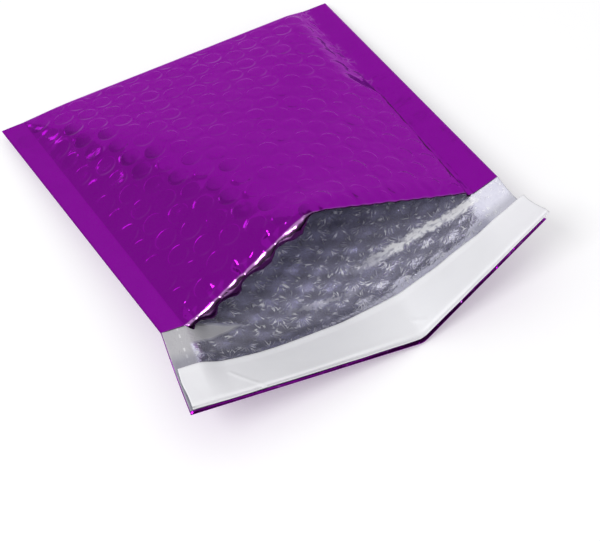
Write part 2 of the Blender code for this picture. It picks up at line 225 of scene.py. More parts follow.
# Light
WORLD_LEVEL = 0.70
GREY_CARD_SIDE = (-0.12, -0.19)
GREY_CARD_FOOT = (0.27, 0.34)
GREY_CARD_LEVEL = 0.78
DULL_FRONT_EDGE = (-0.45, -0.10)
DULL_FRONT_LEVEL = 0.08
DULL_ABOVE_EDGE = (0.67, 0.78)
DULL_ABOVE_END = (0.87, 0.92)
DULL_ABOVE_SIDE = (0.12, 0.24)
DULL_ABOVE_LEVEL = 0.33
FLOOR_HALF = 4.0
FLOOR_GLOW = 0.28

# Each lamp's name, direction from the envelope, distance, side length and power
LAMPS = (("key_lamp", (-0.62, -0.25, 0.74), 1.6, 0.58, 10.0),
         ("rim_lamp", (-0.39, 0.88, 0.29), 1.8, 0.35, 0.7))

STEP_ACROSS = (WIDTH - LEFT_SEAM - RIGHT_SEAM) / (2 * BUBBLE_COLUMNS + 1)
BUBBLE_PITCH = STEP_ACROSS * 4 / math.sqrt(3)
WALL = FILM_THICK + LAYER_GAP + LINING_THICK + LINING_RELIEF + CAVITY_GAP / 2
WELD_HALF = FILM_THICK
REST_HEIGHT = CAD_RELIEF + WALL
LINING_OUT = FILM_THICK + LAYER_GAP
LINING_IN = LINING_OUT + LINING_THICK
SHEET_END = BODY_LENGTH + FLAP_LENGTH

# Fine cells to one coarse cell on a sheet's hidden side
COARSE_STEP = 4

# The materials measure places on the flat sheet in tenths of a metre
MAP_SCALE = 10
MAP_LEFT = MAP_SCALE * LEFT_SEAM
MAP_RIGHT = MAP_SCALE * (WIDTH - RIGHT_SEAM)
MAP_MOUTH = -MAP_SCALE * BODY_LENGTH
MAP_CREASE = -MAP_SCALE * CREASE_FROM
MAP_PEAK = MAP_SCALE * PEAK_ACROSS
MAP_BUBBLE = MAP_SCALE * BUBBLE_PITCH / 2


def blend(low, high, share):
    """The value a given share of the way from one to the other."""
    return low + (high - low) * share


def limit(share):
    """A share kept between nought and one."""
    return np.clip(share, 0.0, 1.0)


def smooth(share):
    """A share that starts and ends gently."""
    share = limit(share)
    return share * share * (3 - 2 * share)


def soft_least(first, second, rounding):
    """The smaller of two heights, with the corner between them rounded."""
    near = np.maximum(0.0, rounding - np.abs(first - second))
    return np.minimum(first, second) - near * near / (4 * rounding)


def soft_most(first, second, rounding):
    """The larger of two heights, with the corner between them rounded."""
    return -soft_least(-first, -second, rounding)


def inside_seams(across):
    """How far a place lies inside the nearer of the two side welds."""
    return np.minimum(across - LEFT_SEAM, WIDTH - RIGHT_SEAM - across)


def facets(first, second, cell, seed):
    """Noise between -1 and 1 made of flat triangles, as in crumpled film."""
    size = 64
    table = np.random.default_rng(seed).uniform(-1, 1, (size, size))
    u = first / cell
    v = second / cell - 0.4 * u
    i = np.floor(u).astype(int)
    j = np.floor(v).astype(int)
    x = u - i
    y = v - j
    low = table[i % size, j % size]
    side = table[(i + 1) % size, j % size]
    up = table[i % size, (j + 1) % size]
    far = table[(i + 1) % size, (j + 1) % size]
    near_half = low + x * (side - low) + y * (up - low)
    far_half = far + (1 - x) * (up - far) + (1 - y) * (side - far)
    return np.where(x + y < 1, near_half, far_half)


def crumple(across, along, cell, seed):
    """Two crossed layers of flat-sided noise."""
    turned_across = 0.8 * across + 0.6 * along
    turned_along = 0.8 * along - 0.6 * across
    first = facets(across, along, cell, seed)
    second = facets(turned_across, turned_along, cell * 0.62, seed + 1)
    return 0.65 * first + 0.35 * second


def nearest_bubble(across, along):
    """Nearest bubble: distance from its middle in radii, a number that names it, and the two offsets."""
    place = ((across - LEFT_SEAM) / STEP_ACROSS - 1) / 2
    far = np.full(np.shape(across), FAR_AWAY)
    name = np.zeros(np.shape(across), dtype=int)
    offset_across = np.zeros(np.shape(across))
    offset_along = np.zeros(np.shape(across))
    for shift in (0, 1):
        column = np.floor(place) + shift
        sideways = (place - column) * 2 * STEP_ACROSS
        moved = along - BUBBLE_PITCH * (0.25 + 0.5 * np.mod(column, 2))
        turn = np.round(moved / BUBBLE_PITCH)
        distance = np.hypot(sideways, moved - turn * BUBBLE_PITCH) / (BUBBLE_PITCH / 2)
        distance = np.where((column < 0) | (column >= BUBBLE_COLUMNS), FAR_AWAY, distance)
        closer = distance < far
        far = np.where(closer, distance, far)
        name = np.where(closer, (column * 97 + turn + 4000).astype(int), name)
        offset_across = np.where(closer, sideways, offset_across)
        offset_along = np.where(closer, moved - turn * BUBBLE_PITCH, offset_along)
    return far, name, offset_across, offset_along


def per_bubble(name, seed):
    """A fixed random number between nought and one for each bubble."""
    table = np.random.default_rng(seed).uniform(0, 1, NAME_COUNT)
    return table[name % NAME_COUNT]


def right_seam(down, face):
    """Width of the flat band along the right side."""
    spread = CREASE_SPREAD * limit((down - CREASE_FROM) / (BODY_LENGTH - CREASE_FROM))
    narrow = RIGHT_NARROWING * limit(1 - down / CREASE_FROM)
    return RIGHT_SEAM + np.where(face > 0, spread - narrow, 0.0)


def skins_out(inset):
    """How many skins lie over one at a depth: nought for the film's outer skin, then one, then two."""
    return (inset > 0) + (inset > FILM_THICK)


def padding(across, down, face, inset):
    """Half the height of the closed envelope. Deeper skins are drawn in a little from the crease."""
    from_left = across - LEFT_SEAM
    sharp = smooth((down - CREASE_FROM + CREASE_LEAD) / CREASE_SHARPENING) * (face > 0)
    drawn = CREASE_DRAW * skins_out(inset) * smooth((BODY_LENGTH - down) / CREASE_FREE_END)
    from_right = WIDTH - right_seam(down, face) - across - drawn * sharp
    right_step = np.where(face > 0, blend(SEAM_STEP_RIGHT, CREASE_STEP, sharp), SEAM_STEP_BACK)
    to_ridge = np.maximum(SEAM_STEP_LEFT, (PEAK_ACROSS - LEFT_SEAM) * down / BODY_LENGTH)
    straight = soft_least(np.clip(from_left / to_ridge, 0.0, 2.0), 1.0, STEP_ROUNDING)
    left_share = np.where(face > 0, straight, smooth(from_left / SEAM_STEP_BACK))
    left = blend(WELD_HALF, WALL, left_share)
    right = blend(WELD_HALF, WALL, smooth(from_right / right_step))
    thin = np.minimum(across / LEFT_SEAM, (WIDTH - across) / RIGHT_SEAM)
    return np.minimum(left, right) * blend(WELD_EDGE_SHARE, 1.0, limit(thin * 4))


def panel_heights(across, down):
    """Middle heights of the front and the back panel, opened towards the mouth."""
    share = np.maximum(LEAST_SHARE, down / BODY_LENGTH)
    left = blend(REST_HEIGHT, LEFT_CORNER_HEIGHT, share)
    right = blend(REST_HEIGHT, RIGHT_CORNER_HEIGHT, share)
    from_left = np.maximum(0.0, across - LEFT_SEAM)
    from_right = np.maximum(0.0, WIDTH - RIGHT_SEAM - across)
    ridge = blend(REST_HEIGHT, PEAK_HEIGHT, share)
    left_slope = (PEAK_HEIGHT - LEFT_CORNER_HEIGHT) / (PEAK_ACROSS - LEFT_SEAM)
    right_slope = (PEAK_HEIGHT - RIGHT_CORNER_HEIGHT) / (WIDTH - RIGHT_SEAM - PEAK_ACROSS)
    at_mouth = limit((down - BODY_LENGTH + PEAK_LENGTH) / PEAK_LENGTH)
    rounding = np.minimum(blend(FRONT_ROUNDING, PEAK_ROUNDING, at_mouth), FRONT_ROUNDING_RISE * share)
    inner = np.minimum(from_left, from_right)
    rounding = np.maximum(LEAST_ROUNDING, np.minimum(rounding, inner))
    front = soft_least(left + left_slope * from_left, right + right_slope * from_right, rounding)
    front = soft_least(front, ridge, rounding)
    lip = limit((down - BODY_LENGTH + LIP_LENGTH) / LIP_LENGTH)
    front = front - LIP_DROP * lip * lip * limit(inner / LIP_LENGTH)
    left_fall = (LEFT_CORNER_HEIGHT - REST_HEIGHT) / LEFT_TROUGH_REACH
    right_fall = (RIGHT_CORNER_HEIGHT - REST_HEIGHT) / RIGHT_TROUGH_REACH
    rounding = np.minimum(BACK_ROUNDING, BACK_ROUNDING_RISE * share)
    sides = np.maximum(left - left_fall * from_left, right - right_fall * from_right)
    back = soft_most(sides, REST_HEIGHT, rounding)
    outside_left = limit((LEFT_SEAM - across) / LEFT_SEAM)
    outside_right = limit((across - WIDTH + RIGHT_SEAM) / RIGHT_SEAM)
    band = left + LEFT_SEAM_RISE * share * outside_left
    band = np.where(across > WIDTH / 2, right + RIGHT_SEAM_RISE * share * outside_right, band)
    in_band = (outside_left > 0) | (outside_right > 0)
    return np.where(in_band, band, front), np.where(in_band, band, back)


def body_plan(across, down, face):
    """Place in plan of a point on the body."""
    share = down / BODY_LENGTH
    left = -WIDTH / 2 + LEFT_CORNER_INSET * share
    right = WIDTH / 2 - RIGHT_CORNER_INSET * share
    inward = limit(inside_seams(across) / (WIDTH / 2 - RIGHT_SEAM))
    shortening = SEAM_SHORTENING * np.where(face > 0, 1.0, 1 - inward)
    return blend(left, right, across / WIDTH), BODY_LENGTH / 2 - down + shortening * share


def body_point(across, down, face, inset, relief):
    """Points on the front (face 1) or back (face -1) panel, at a depth under the outer skin."""
    front, back = panel_heights(across, down)
    middle = np.where(face > 0, front, back)
    full = padding(across, down, face, inset)
    reach = full * (1 - inset / WALL)
    turned = limit((full - down) / np.maximum(1e-6, full - inset))
    half = reach * np.sqrt(1 - turned * turned)
    x, y = body_plan(across, down, face)
    return np.stack((x, y, middle + face * (half + relief)), axis=-1)


def flap_edge(across):
    """Points of the flap's free edge."""
    across = across[..., None]
    kink = np.array(FLAP_KINK)
    left = blend(np.array(FLAP_LEFT), kink, across / KINK_ACROSS)
    right = blend(kink, np.array(FLAP_RIGHT), (across - KINK_ACROSS) / (WIDTH - KINK_ACROSS))
    edge = np.where(across < KINK_ACROSS, left, right)
    edge[..., 2] = soft_most(left[..., 2], right[..., 2], KINK_ROUNDING)
    return edge


def flap_point(across, out, height):
    """Points on the flap, at a height over the film's outer face and a distance out from the mouth."""
    hinge = body_point(across, np.full(np.shape(across), BODY_LENGTH), -1.0, 0.0, 0.0)
    edge = flap_edge(across)
    share = (out / FLAP_LENGTH)[..., None]
    place = blend(hinge, edge, share)
    place[..., 2] = blend(hinge[..., 2], edge[..., 2], share[..., 0] ** FLAP_CURL) + height
    return place


def edge_share(out):
    """How far a place is into the pressed outer edge of the flap, beyond the glue."""
    return smooth((out - EDGE_FROM) / (FLAP_LENGTH - EDGE_FROM - EDGE_FLAT))


def lining_underside(out):
    """Height of the lining's film side over the film's outer face, on the flap."""
    return blend(LINING_OUT, FILM_THICK + EDGE_GAP, edge_share(out))


def lining_height(across, out):
    """Height of the lining's bubble side over the film's outer face, on the flap."""
    thick = blend(LINING_SEAM_THICK, LINING_THICK, limit(inside_seams(across) / STEP_ACROSS))
    pressed = limit((out - BUBBLES_END) / (PRESSED_FROM - BUBBLES_END))
    thick = np.minimum(thick, blend(LINING_THICK, LINING_PRESSED_THICK, pressed))
    return lining_underside(out) + thick * blend(1.0, EDGE_PRESS, edge_share(out))


def pinched(across, rise):
    """Flat-sided dents at the pinches of the mouth edge: one in a dent's middle and nought outside it."""
    deepest = np.zeros(np.shape(across))
    for number, middle in enumerate(PINCHES):
        reach = PINCH_REACH * (1.15 if number % 2 else 0.85)
        dent = 1 - np.abs(across - middle) / reach - np.abs(rise - PINCH_RISE) / (1.5 * PINCH_RISE)
        deepest = np.maximum(deepest, dent)
    return deepest


def bows(across):
    """Bows of the mouth edge between its pinches: nought at a pinch and one midway."""
    nearest = np.min([np.abs(across - middle) for middle in PINCHES], axis=0)
    return smooth(nearest / PINCH_REACH)


def left_part(across, past_peak, peak_fade, before_seam, seam_fade):
    """One between the left weld and the peak, with a soft end at each."""
    at_peak = smooth((PEAK_ACROSS + past_peak - across) / peak_fade)
    return at_peak * smooth((across - LEFT_SEAM + before_seam) / seam_fade)


def mouth_crush(across, down, inset):
    """Shift of the front panel near its mouth edge: pinched scallops left of the peak, crumpled between.
    Deeper skins sag a little more, clear of the dents."""
    rise = BODY_LENGTH - down
    near = smooth(1 - rise / CRUSH_LENGTH)
    left_half = left_part(across, *CRUSH_ENDS)
    bow = bows(across)
    rough = crumple(across, down, ROUGH_CELL, 11)
    edge = smooth(1 - rise / (2 * PINCH_RISE))
    drop = left_half * (PINCH_DEPTH * pinched(across, rise) + EDGE_DROP * edge * (1 - bow))
    drop = drop + near * near * left_half * ROUGH_DEPTH * rough
    padded = smooth(inside_seams(across) / BODY_EDGE)
    fine = near * padded * crumple(across + 0.3, down, FINE_CELL, 23) * blend(*FINE_DEPTHS, left_half)
    ripple = near * padded * (1 - left_half) * RIPPLE_HEIGHT * np.sin(across * RIPPLE_TURN)
    shift = np.zeros(np.shape(across) + (3,))
    shift[..., 1] = -near * left_half * BOW_OUT * (bow - BOW_LEVEL) + 0.5 * fine
    sag = SKIN_SAG * skins_out(inset) * near * left_half
    shift[..., 2] = -drop + fine + ripple - sag
    return shift


def placed(across, along, inset, relief, height):
    """Points of a sheet over the whole of its length, with the crushed mouth edge."""
    down = np.minimum(np.abs(along), BODY_LENGTH)
    face = np.where(along < 0, 1.0, -1.0)
    body = body_point(across, down, face, inset, relief)
    crush = mouth_crush(across, down, inset)
    body = np.where((along < 0)[..., None], body + crush, body)
    out = np.maximum(0.0, along - BODY_LENGTH)
    flap = flap_point(across, out, height)
    return np.where((along > BODY_LENGTH)[..., None], flap, body)


def fades(along, end):
    """Bubbles are flattened at the bottom fold and towards the end of the padded part."""
    at_fold = smooth((np.abs(along) - BUBBLE_FADE_START) / BUBBLE_FADE_LENGTH)
    at_end = smooth((end - along) / BUBBLE_FADE_LENGTH)
    return at_fold * at_end


def ridge_nearness(across, along):
    """One on the front panel's left ridge, which runs from the fold's corner to the peak, else nought."""
    share = np.maximum(0.0, -along) / BODY_LENGTH
    off = across - blend(LEFT_SEAM, PEAK_ACROSS, share)
    return np.exp(-(off / RIDGE_WIDTH) ** 2) * smooth(share / 0.1)


def film_relief(across, along):
    """How far the film stands out over the bubbles: discs with rounded rims, low where it is stretched."""
    far, name, offset_across, offset_along = nearest_bubble(across, along)
    disc = smooth((DISC_EDGE - far) / DISC_ROUNDING)
    ridge = ridge_nearness(across, along)
    lean = FILM_LEAN * (1 + RIDGE_LEAN * ridge)
    lean_across = lean * (2 * per_bubble(name, 3) - 1)
    lean_along = lean * (2 * per_bubble(name, 4) - 1)
    top = np.where(along < 0, FILM_RELIEF, CAD_RELIEF) * blend(*DISC_SIZES, per_bubble(name, 5))
    dent = FILM_DENT * (1 + RIDGE_DENT * ridge) * per_bubble(name, 6) * (1 - limit(far) ** 2)
    relief = disc * (top + lean_across * offset_across + lean_along * offset_along - dent)
    at_sides = smooth((inside_seams(across) - SIDE_FADE_START) / SIDE_FADE_LENGTH)
    relief = np.clip(relief, 0.0, CAD_RELIEF) * at_sides
    return (relief + seam_crumples(across, along)) * fades(along, SHEET_END)


def seam_crumples(across, along):
    """Small crumples of the front film beside the right seam, near the fold."""
    down = np.maximum(0.0, -along)
    beside = np.abs(WIDTH - right_seam(down, 1.0) - 0.4 * SEAM_CRUMPLE_REACH - across)
    near = smooth(1 - beside / SEAM_CRUMPLE_REACH)
    near = near * smooth((CREASE_FROM + SEAM_CRUMPLE_PAST - down) / SEAM_CRUMPLE_FADE)
    rough = 0.5 + 0.5 * crumple(across, along, DENT_CELL, 71)
    return np.where(along < 0, SEAM_CRUMPLE * near * rough, 0.0)


def tongue(across, along):
    """The flattened tongue of lining that runs in from the left side at the mouth."""
    wide = TONGUE_HALF * limit((TONGUE_END - across) / (TONGUE_END - LEFT_SEAM))
    return smooth((wide - np.abs(along - BODY_LENGTH - TONGUE_MIDDLE)) / TONGUE_SOFTNESS)


def crest(across, along):
    """The taut bend of the lining at the mouth: how taut a place is, and how far it stands up."""
    swing = CREST_SWING * limit((across - CREST_SWING_FROM) / (CREST_TO - CREST_SWING_FROM))
    off = limit(np.abs(along - CREST_LINE - swing) / CREST_REACH)
    ends = smooth((across - CREST_FROM) / CREST_RISES[0]) * smooth((CREST_TO - across) / CREST_RISES[1])
    return ends * smooth((1 - off) / 0.4), ends * CREST_HEIGHT * (1 - off * off) ** 2


def lining_relief(across, along):
    """Height of the lining's bubbles: domes with dents, on crinkled film."""
    far, name, _, _ = nearest_bubble(across, along)
    dome = smooth((DOME_EDGE - far) / DOME_ROUNDING)
    size = blend(*DOME_SIZES, per_bubble(name, 7))
    dent = LINING_DENT * crumple(across, along, DENT_CELL, 31)
    dent = dent + LINING_FINE_DENT * crumple(across, along, DENT_CELL / 2, 37)
    up = LINING_RELIEF * dome * size + dent * smooth((1.2 - far) / 0.5)
    taut, stands = crest(across, along)
    bubbles = np.maximum(0.0, up) * fades(along, BODY_LENGTH + BUBBLES_END)
    return bubbles * (1 - 0.8 * tongue(across, along)) * (1 - taut) + stands


def spans(start, parts):
    """Places of nodes from piecewise even spans, each an end and a number of cells."""
    places = [start]
    for end, cells in parts:
        first = places[-1]
        places += [first + (end - first) * (k + 1) / cells for k in range(cells)]
    return np.array(places)


def fold_rows(cells):
    """Node rows round the bottom fold, between the front and the back."""
    angles = np.radians(np.linspace(-90, 90, 2 * cells + 1))[1:-1]
    return WALL * (1 - np.cos(angles)) * np.where(angles < 0, -1, 1)


def slab(name, upper, lower, keep, flip):
    """A closed sheet between a fine grid and a coarser one, where coarse cells may be left out."""
    step = COARSE_STEP
    wide, long, _ = upper.shape
    count = wide * long
    lower = lower[::step, ::step]
    low_long = lower.shape[1]
    faces = []
    fine_keep = np.repeat(np.repeat(keep, step, axis=0), step, axis=1)
    for i, j in zip(*np.nonzero(fine_keep)):
        a = i * long + j
        faces.append((a, a + long, a + long + 1, a + 1))
    for i, j in zip(*np.nonzero(keep)):
        a = count + i * low_long + j
        faces.append((a, a + 1, a + low_long + 1, a + low_long))
    padded = np.pad(keep, 1)
    sides = (((0, -1), (0, 0), (1, 0)), ((1, 0), (1, 0), (1, 1)),
             ((0, 1), (1, 1), (0, 1)), ((-1, 0), (0, 1), (0, 0)))
    for i, j in zip(*np.nonzero(keep)):
        for (beside_i, beside_j), start, end in sides:
            if padded[i + 1 + beside_i, j + 1 + beside_j]:
                continue
            first = np.array((i, j)) + start
            move = np.array(end) - start
            fine = [first * step + move * k for k in range(step, -1, -1)]
            last = first + move
            rim = [int(p[0] * long + p[1]) for p in fine]
            faces.append((*rim, int(count + first[0] * low_long + first[1]),
                          int(count + last[0] * low_long + last[1])))
    verts = np.concatenate((upper.reshape(-1, 3), lower.reshape(-1, 3)))
    used = np.unique(np.concatenate([np.array(face) for face in faces]))
    number = np.full(len(verts), -1)
    number[used] = np.arange(len(used))
    kept_faces = [[int(number[v]) for v in (reversed(face) if flip else face)] for face in faces]
    mesh = bpy.data.meshes.new(name)
    mesh.from_pydata(verts[used].tolist(), [], kept_faces)
    mesh.update()
    for polygon in mesh.polygons:
        polygon.use_smooth = True
    sheet = bpy.data.objects.new(name, mesh)
    bpy.context.scene.collection.objects.link(sheet)
    return sheet, used


def write_sheet_map(sheet, used, across, along):
    """Keep each corner's place on the flat sheet for the materials."""
    fine = np.stack((across, along), axis=-1)
    coarse = fine[::COARSE_STEP, ::COARSE_STEP]
    places = np.concatenate((fine.reshape(-1, 2), coarse.reshape(-1, 2)))[used] * MAP_SCALE
    layer = sheet.data.uv_layers.new(name="sheet")
    corners = np.empty(len(sheet.data.loops), dtype=int)
    sheet.data.loops.foreach_get("vertex_index", corners)
    layer.data.foreach_set("uv", places[corners].ravel())


def all_cells(columns, rows):
    """Keeps every coarse cell of a sheet."""
    return np.ones(((len(columns) - 1) // COARSE_STEP, (len(rows) - 1) // COARSE_STEP), dtype=bool)


def seam_columns(inset):
    """Node columns across the sheet, closer together by the seams."""
    return spans(0.0, [
        (LEFT_SEAM + inset, 12), (LEFT_SEAM + 0.006, 12), (WIDTH - RIGHT_SEAM - 0.009, 152),
        (WIDTH - RIGHT_SEAM - inset, 24), (WIDTH, 12)])


def make_film():
    """Purple film: one folded sheet, rolled over at the mouth, with the flap."""
    columns = seam_columns(0.0)
    front = spans(-BODY_LENGTH, [(-BODY_LENGTH + CRUSH_LENGTH, 20), (-WALL, 144)])
    back = spans(WALL, [(BODY_LENGTH, 120), (SHEET_END, 36)])
    roll = np.linspace(1.0, 0.0, ROLL_ROWS + 1)[:-1]
    rows = np.concatenate((np.full(ROLL_ROWS, -BODY_LENGTH), front, fold_rows(8), back))
    extra = np.concatenate((roll, np.zeros(len(rows) - ROLL_ROWS)))
    across, along = np.meshgrid(columns, rows, indexing="ij")
    rolled = np.broadcast_to(extra, across.shape)
    on_sheet = along - rolled * ROLL_TURN * ROLL_RADIUS
    levels = []
    for inset in (0.0, FILM_THICK):
        relief = film_relief(across, along) if inset == 0.0 else 0.0
        height = -relief if inset == 0.0 else FILM_THICK
        points = placed(across, fold_along(along, inset), inset, relief, height)
        levels.append(roll_edge(points, across, rolled, inset))
    film, used = slab("outer_film_skin", levels[0], levels[1], all_cells(columns, rows), False)
    write_sheet_map(film, used, across, on_sheet)
    return film


def fold_along(along, inset):
    """Rows of the fold moved in for a skin that lies deeper."""
    scaled = inset + (WALL - inset) * np.abs(along) / WALL
    in_fold = np.abs(along) < WALL
    return np.where(in_fold, np.sign(along + 1e-12) * scaled, along)


def roll_edge(points, across, rolled, inset):
    """Roll the rows beyond the mouth edge down and back under it."""
    left_half = left_part(across, *ROLL_ENDS)
    full_radius = blend(PINCHED_RADIUS, ROLL_RADIUS, bows(across))
    full_radius = full_radius * (1 + ROLL_CRUMPLE * crumple(across, rolled * ROLL_CELL_ROUND, ROLL_CELL, 41))
    radius = blend(THIN_ROLL_RADIUS, full_radius, left_half)
    in_body = limit(inside_seams(across) / BODY_EDGE)
    angle = rolled * blend(THIN_ROLL_TURN, ROLL_TURN, left_half) * in_body
    edge = points[:, ROLL_ROWS:ROLL_ROWS + 1]
    outward = edge - points[:, ROLL_ROWS + 2:ROLL_ROWS + 3]
    outward /= np.linalg.norm(outward, axis=-1, keepdims=True)
    sideways = np.gradient(edge, axis=0)
    normal = np.cross(sideways, -outward)
    normal /= np.linalg.norm(normal, axis=-1, keepdims=True)
    bend = (radius - inset)[..., None]
    out = outward * bend * np.sin(angle)[..., None]
    under = normal * bend * (1 - np.cos(angle))[..., None]
    return np.where((rolled > 0)[..., None], edge + out - under, points)


def make_lining():
    """Silver bubble lining: one folded sheet inside the film, wider on the flap."""
    columns = seam_columns(LINING_FILM_SEAM)
    columns[0] += FLAP_SIDE_GAP
    columns[-1] -= FLAP_SIDE_GAP
    mouth = BODY_LENGTH - LINING_MOUTH_STEP
    front = spans(-mouth, [(-mouth + CRUSH_LENGTH, 16), (-WALL, 96)])
    start = BODY_LENGTH + 2 * FLAP_SIDE_GAP
    back = spans(WALL, [(BODY_LENGTH - 0.060, 84), (BODY_LENGTH, 68), (start, 4),
                        (SHEET_END - LINING_EDGE_INSET, 56)])
    rows = np.concatenate((front, fold_rows(6), back))
    across, along = np.meshgrid(columns, rows, indexing="ij")
    middle_across = (columns[:-1:COARSE_STEP] + columns[COARSE_STEP::COARSE_STEP]) / 2
    middle_along = (rows[:-1:COARSE_STEP] + rows[COARSE_STEP::COARSE_STEP]) / 2
    inner = (middle_across > LEFT_SEAM) & (middle_across < WIDTH - RIGHT_SEAM)
    keep = inner[:, None] | (middle_along > start)[None, :]
    relief = lining_relief(across, along)
    out = np.maximum(0.0, along - BODY_LENGTH)
    fine = placed(across, fold_along(along, LINING_IN), LINING_IN, -relief,
                  lining_height(across, out) + relief)
    coarse = placed(across, fold_along(along, LINING_OUT), LINING_OUT, 0.0, lining_underside(out))
    lining, used = slab("bubble_lining_skin", fine, coarse, keep, True)
    write_sheet_map(lining, used, across, along)
    return lining


def strip_creases(across, out):
    """Height of the small creases in the paper."""
    height = np.zeros(np.shape(across))
    for start_across, start_out, end_across, end_out in STRIP_CREASES:
        long = math.hypot(end_across - start_across, end_out - start_out)
        way_across = (end_across - start_across) / long
        way_out = (end_out - start_out) / long
        on = (across - start_across) * way_across + (out - start_out) * way_out
        beside = (across - start_across) * way_out - (out - start_out) * way_across
        ends = limit(np.minimum(on, long - on) / STRIP_CREASE_WIDTH + 1)
        near = limit(1 - np.abs(beside) / STRIP_CREASE_WIDTH)
        height = np.maximum(height, STRIP_CREASE_HEIGHT * ends * near)
    return height


def make_strip():
    """White peel-off strip: lies on the flap, with slight waves, small creases and an uneven cut."""
    end_cell, start_cell, cut_cell, wave_cell, dip_cell = STRIP_CELLS
    columns = np.linspace(0.0, 1.0, 241)
    shares = np.linspace(0.0, 1.0, 37)
    place, share = np.meshgrid(columns, shares, indexing="ij")
    ragged = STRIP_END_WAVE * crumple(share * STRIP_WIDTH, 0 * share, end_cell, 61)
    across = blend(STRIP_LEFT + STRIP_END_WAVE + ragged, WIDTH + STRIP_OVERHANG + 0.3 * ragged, place)
    start = STRIP_START + STRIP_CUT * crumple(across, 0 * across, start_cell, 51)
    end = STRIP_START + STRIP_WIDTH + STRIP_CUT * crumple(across, 0 * across, cut_cell, 53)
    out = blend(start, end, share)
    edge = np.maximum(0.0, np.abs(share - 0.5) * 2 - STRIP_WAVE_FROM) / (1 - STRIP_WAVE_FROM)
    wave = STRIP_WAVE * edge * (1 + crumple(across, 0 * across, wave_cell, 57))
    dip = STRIP_DIP * (1 + crumple(across, out, dip_cell, 59)) + strip_creases(across, out)
    levels = []
    for thick in (STRIP_THICK, 0.0):
        lift = blend(STRIP_LIFT, EDGE_STRIP_LIFT, edge_share(out))
        height = lining_height(across * 0 + WIDTH / 2, out) + lift + wave + dip + thick
        levels.append(flap_point(across, out, height))
    strip, used = slab("release_strip_paper", levels[0], levels[1], all_cells(columns, shares), True)
    write_sheet_map(strip, used, across, out + BODY_LENGTH)
    return strip


class Wires:
    """Adds nodes to one node tree and joins them. A value is a socket or a plain number or colour."""

    def __init__(self, tree):
        self.tree = tree

    def join(self, value, socket):
        """Join a made value to a socket, or set a plain one on it."""
        if isinstance(value, bpy.types.NodeSocket):
            self.tree.links.new(value, socket)
        else:
            socket.default_value = value

    def fill(self, node, inputs):
        """Join or set some of a node's inputs, each by its name or number."""
        for name, value in inputs.items():
            self.join(value, node.inputs[name])

    def add(self, kind, inputs=None):
        """A new node, with some of its inputs filled."""
        node = self.tree.nodes.new("ShaderNode" + kind)
        self.fill(node, inputs or {})
        return node

    def math(self, operation, *values):
        """One operation on numbers."""
        node = self.add("Math", dict(enumerate(values)))
        node.operation = operation
        return node.outputs[0]

    def times(self, first, *others):
        """The product of several numbers."""
        for value in others:
            first = self.math("MULTIPLY", first, value)
        return first

    def apart(self, first, second):
        """How far two numbers are apart."""
        return self.math("ABSOLUTE", self.math("SUBTRACT", first, second))

    def vector(self, operation, *values):
        """One operation on places."""
        node = self.add("VectorMath", dict(enumerate(values)))
        node.operation = operation
        return node.outputs["Value" if operation == "LENGTH" else "Vector"]

    def parts(self, place):
        """The three coordinates of a place."""
        return tuple(self.add("SeparateXYZ", {0: place}).outputs)

    def sheet_place(self):
        """The place on the flat sheet."""
        place = self.add("UVMap")
        place.uv_map = "sheet"
        return place.outputs["UV"]

    def noise(self, place, scale, detail, stretch=(1, 1, 1)):
        """Noise over the sheet, with its own stretch."""
        stretched = self.add("Mapping", {"Vector": place, "Scale": stretch}).outputs["Vector"]
        texture = self.add("TexNoise", {"Vector": stretched, "Scale": scale, "Detail": detail})
        return texture.outputs["Fac"]

    def ramp(self, value, low, high, out_low=0.0, out_high=1.0):
        """A value moved from one range to another."""
        ends = {"From Min": low, "From Max": high, "To Min": out_low, "To Max": out_high}
        return self.add("MapRange", {"Value": value, **ends}).outputs["Result"]

    def mix(self, share, first, second):
        """A colour a given share of the way from one to the other."""
        node = self.add("Mix")
        node.data_type = "RGBA"
        first, second = ((*colour, 1.0) if isinstance(colour, tuple) else colour
                         for colour in (first, second))
        self.fill(node, {"A": first, "B": second, "Factor": share})
        return node.outputs["Result"]

    def layers(self, colour, *layers):
        """Plain colours laid over a made one in turn, each by its share."""
        for share, shade in layers:
            colour = self.mix(share, colour, shade)
        return colour

    def most(self, first, *others):
        """The largest of several numbers."""
        for value in others:
            first = self.math("MAXIMUM", first, value)
        return first

    def bump(self, height, distance, strength, normal=None):
        """Small relief from a height, over an earlier one."""
        node = self.add("Bump", {"Height": height, "Distance": distance, "Strength": strength})
        if normal is not None:
            self.join(normal, node.inputs["Normal"])
        return node.outputs["Normal"]

    def crinkles(self, place, scale, sharp):
        """Straight-sided crinkles: distance to the edges of cells over the sheet."""
        texture = self.add("TexVoronoi", {"Vector": place, "Scale": scale})
        texture.feature = "DISTANCE_TO_EDGE"
        return self.ramp(texture.outputs["Distance"], 0.0, sharp, 1.0, 0.0)


def new_material(name, colour, metallic, roughness):
    """A material with its Principled shader's plain values set."""
    material = bpy.data.materials.new(name)
    material.use_nodes = True
    wires = Wires(material.node_tree)
    shader = wires.tree.nodes["Principled BSDF"]
    wires.fill(shader, {"Base Color": (*colour, 1.0), "Metallic": metallic, "Roughness": roughness})
    return material, wires, shader


